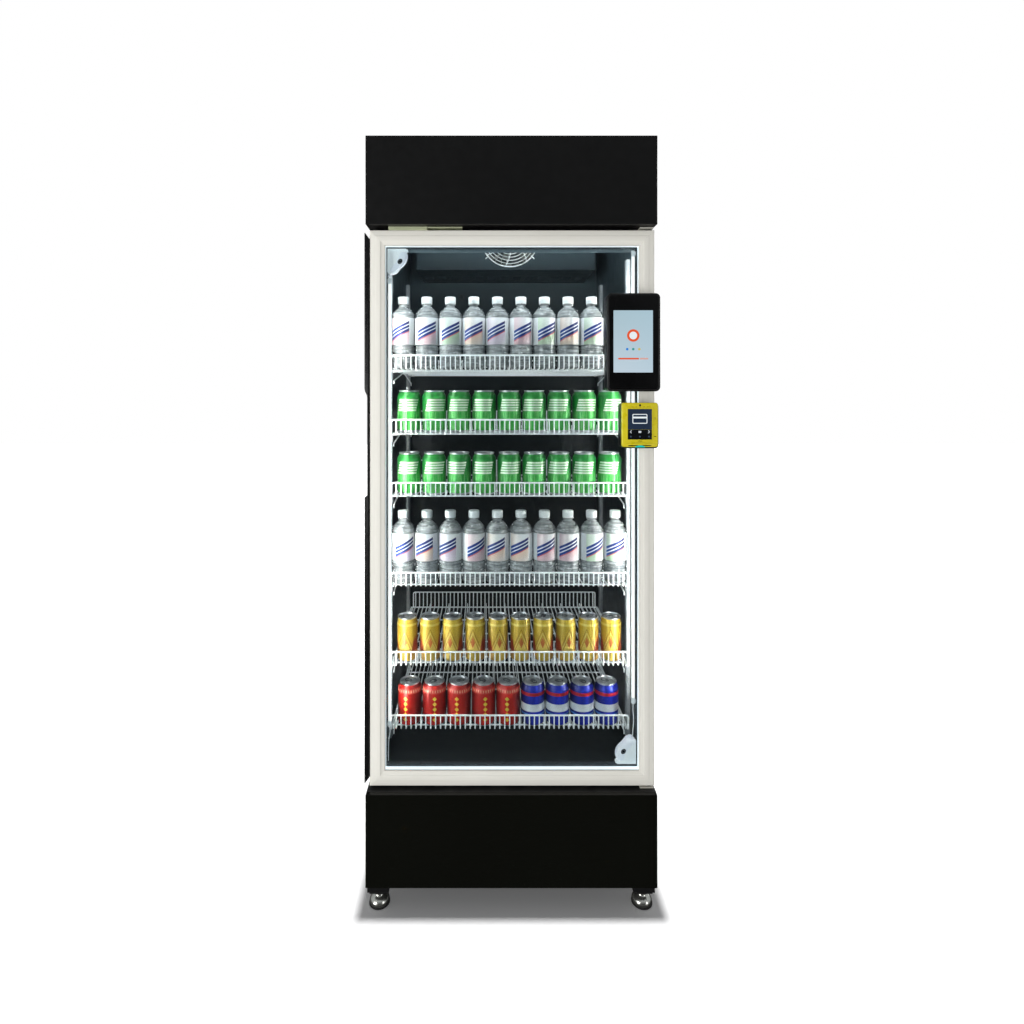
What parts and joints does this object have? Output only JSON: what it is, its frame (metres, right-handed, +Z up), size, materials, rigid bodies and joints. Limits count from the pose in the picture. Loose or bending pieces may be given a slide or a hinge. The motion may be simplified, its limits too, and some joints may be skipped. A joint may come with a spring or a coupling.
{
  "type": "soda can vending machine",
  "caption": "Upright glass-door vending cooler with wire shelves of drinks, door-mounted touchscreen and card reader, hinged door and levelling feet.",
  "frame": {"origin": "on the floor, below the centre line of the cabinet, 340 mm behind the front face of the header and base, which puts it within 7 mm of the middle of the overall footprint", "axes": "+Z up; the door and screens face -Y; +X is to the right when facing the door, on the hinge side"},
  "size_m": [0.7488, 0.7358, 1.98],
  "materials": {
    "black_sheet": "satin",
    "foam": "matte",
    "dark_liner": "satin",
    "dark_plastic": "matte",
    "electronics_metal": "satin",
    "black_plastic": "satin",
    "compressor_black": "gloss",
    "condenser_black": "satin",
    "copper": "satin",
    "bare_aluminium": "satin",
    "white_wire": "gloss",
    "grey_plastic": "satin",
    "grey_metal": "satin",
    "bare_steel": "satin",
    "lock_metal": "satin",
    "bottle_plastic": "gloss",
    "green_can": "gloss",
    "gold_can": "gloss",
    "red_can": "gloss",
    "blue_can": "gloss",
    "foot_chrome": "polished",
    "gloss_black_sheet": "gloss",
    "pale_aluminium": "satin",
    "clear_glass": "gloss",
    "spacer_aluminium": "satin",
    "grey_rubber": "matte",
    "handle_black": "satin",
    "nylon": "satin",
    "white_plastic": "satin",
    "lamp_white": "gloss",
    "gloss_black_plastic": "gloss",
    "screen_glass": "gloss",
    "yellow_plastic": "gloss",
    "reader_glass": "gloss"
  },
  "bodies": {
    "cabinet": {"outer_shell": "black_sheet", "insulation_foam": "foam", "inner_liner": "dark_liner", "breaker_frame": "dark_plastic", "rear_grille": "black_sheet", "header_shell": "black_sheet", "header_electronics": "electronics_metal", "base_frame": "black_sheet", "foot_bosses": "black_plastic", "compressor": "compressor_black", "condenser_coil": "condenser_black", "condenser_fan_shroud": "black_plastic", "drip_tray": "black_plastic", "refrigerant_pipes": "copper", "evaporator_cover": "dark_liner", "evaporator_coil": "bare_aluminium", "evaporator_fan_guard": "white_wire", "evaporator_fan_motor": "grey_plastic", "shelf_pilasters": "grey_metal", "shelf_clips": "bare_steel", "shelf_1": "white_wire", "shelf_2": "white_wire", "shelf_3": "white_wire", "shelf_4": "white_wire", "shelf_5": "white_wire", "shelf_6": "white_wire", "lane_dividers": "white_wire", "top_hinge_bracket": "bare_steel", "bottom_hinge_bracket": "bare_steel", "maglock": "lock_metal", "panel_screws": "bare_steel", "mains_inlet": "black_plastic", "bottles": "bottle_plastic", "cans_green": "green_can", "cans_gold": "gold_can", "cans_red": "red_can", "cans_blue": "blue_can", "base_front_panel": "gloss_black_sheet"},
    "door": {"door_frame": "pale_aluminium", "insulating_glass": "clear_glass", "glass_spacer": "spacer_aluminium", "door_gasket": "grey_rubber", "door_handle": "handle_black", "hinge_bushes": "nylon", "armature_plate": "bare_steel", "door_cameras": "white_plastic", "led_tubes": "lamp_white", "led_end_caps": "white_plastic", "screen_bracket": "black_plastic", "screen_housing": "gloss_black_plastic", "screen_panel": "screen_glass", "reader_body": "gloss_black_plastic", "reader_bezel": "yellow_plastic", "reader_screen": "reader_glass"},
    "evaporator_fan": {"evaporator_fan_blade": "grey_plastic"},
    "condenser_fan": {"condenser_fan_blade": "bare_aluminium"},
    "foot_front_left": {"foot_front_left": "foot_chrome"},
    "foot_front_right": {"foot_front_right": "foot_chrome"},
    "foot_rear_left": {"foot_rear_left": "foot_chrome"},
    "foot_rear_right": {"foot_rear_right": "foot_chrome"}
  },
  "joints": [
    {"name": "door_swing", "type": "hinge", "parent": "cabinet", "child": "door", "pos_m": [0.356, -0.3, 1.03], "axis": [0, 0, 1], "range_deg": [0, 100]},
    {"name": "evaporator_fan_spin", "type": "hinge", "parent": "cabinet", "child": "evaporator_fan", "pos_m": [0.013, 0.081, 1.826], "axis": [0, 1, 0], "continuous": true},
    {"name": "condenser_fan_spin", "type": "hinge", "parent": "cabinet", "child": "condenser_fan", "pos_m": [-0.185, -0.165, 0.19], "axis": [0, 1, 0], "continuous": true},
    {"name": "foot_front_left_screw", "type": "hinge", "parent": "cabinet", "child": "foot_front_left", "pos_m": [-0.342, -0.293, 0.04], "axis": [0, 0, 1], "continuous": true},
    {"name": "foot_front_right_screw", "type": "hinge", "parent": "cabinet", "child": "foot_front_right", "pos_m": [0.342, -0.293, 0.04], "axis": [0, 0, 1], "continuous": true},
    {"name": "foot_rear_left_screw", "type": "hinge", "parent": "cabinet", "child": "foot_rear_left", "pos_m": [-0.342, 0.293, 0.04], "axis": [0, 0, 1], "continuous": true},
    {"name": "foot_rear_right_screw", "type": "hinge", "parent": "cabinet", "child": "foot_rear_right", "pos_m": [0.342, 0.293, 0.04], "axis": [0, 0, 1], "continuous": true}
  ]
}
